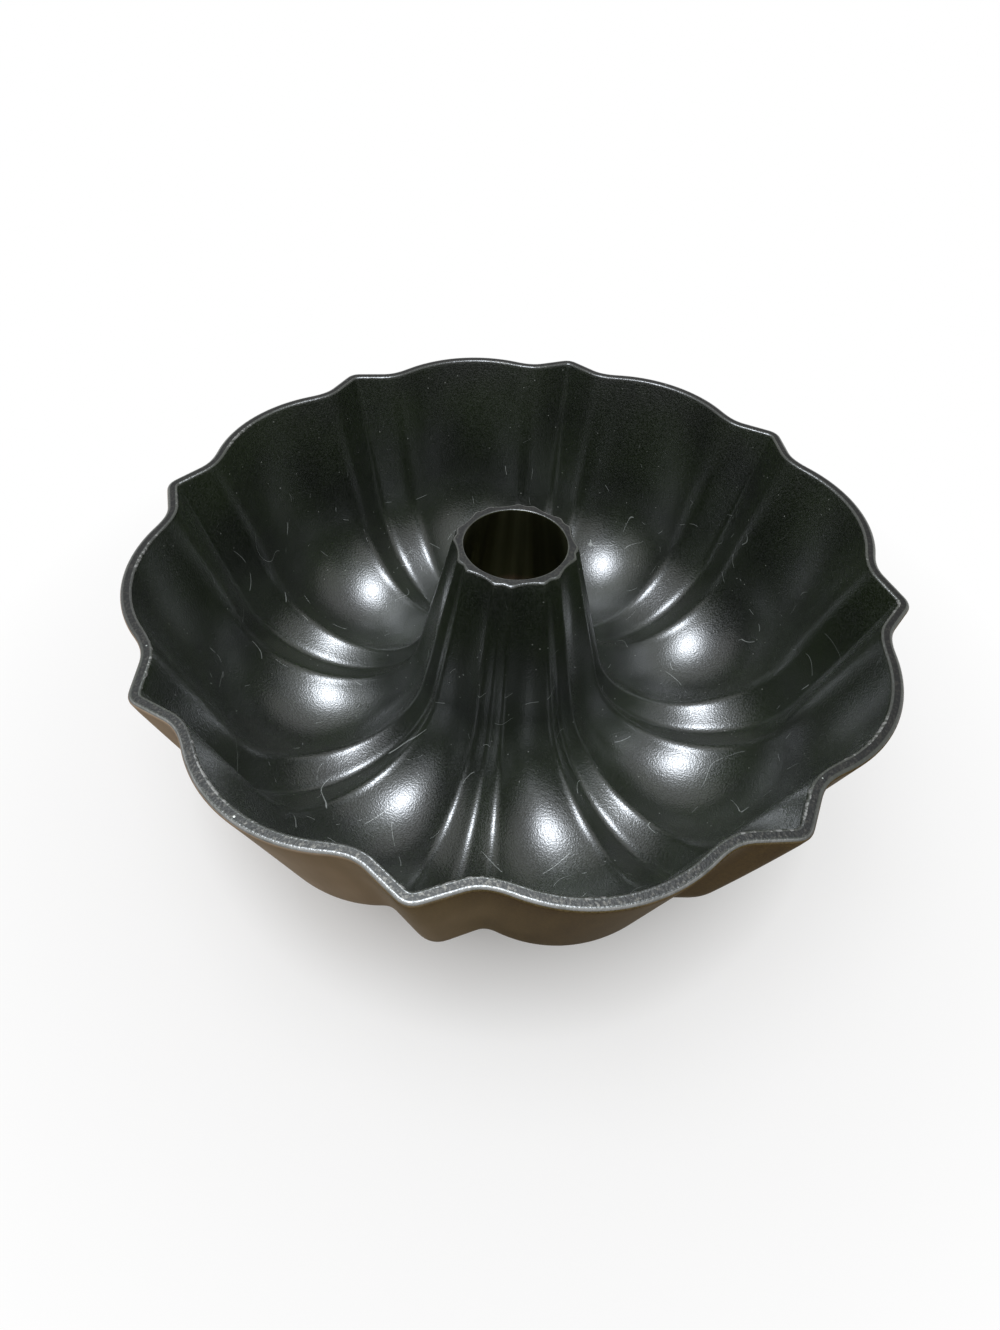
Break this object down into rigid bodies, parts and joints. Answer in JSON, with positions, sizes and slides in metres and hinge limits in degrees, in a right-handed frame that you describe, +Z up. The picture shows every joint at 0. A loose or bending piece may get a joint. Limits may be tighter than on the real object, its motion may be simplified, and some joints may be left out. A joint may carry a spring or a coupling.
{
  "type": "fluted tube pan",
  "caption": "Cast ring-cake pan with round lobes, pointed flutes and a hollow conical centre tube; black non-stick inside, brown enamel outside.",
  "frame": {"origin": "centre of the base, on the plane that the pan stands on", "axes": "+Z up along the centre tube, out of the open mouth; flute tips lie on +X, -X, +Y and -Y and every 45 degrees between, round lobes halfway between them"},
  "size_m": [0.2644, 0.2644, 0.0964],
  "materials": {
    "cast_aluminium": "as-cast satin, bare only on the ground feet, along the rounded rim edge and in chips",
    "nonstick_coating": "black semi-gloss baked non-stick coat, finely speckled and lightly scratched",
    "exterior_enamel": "satin bronze-brown baked enamel"
  },
  "bodies": {
    "root": {"cast_body": "cast_aluminium", "interior_nonstick": "nonstick_coating", "exterior_enamel": "exterior_enamel"}
  },
  "joints": []
}
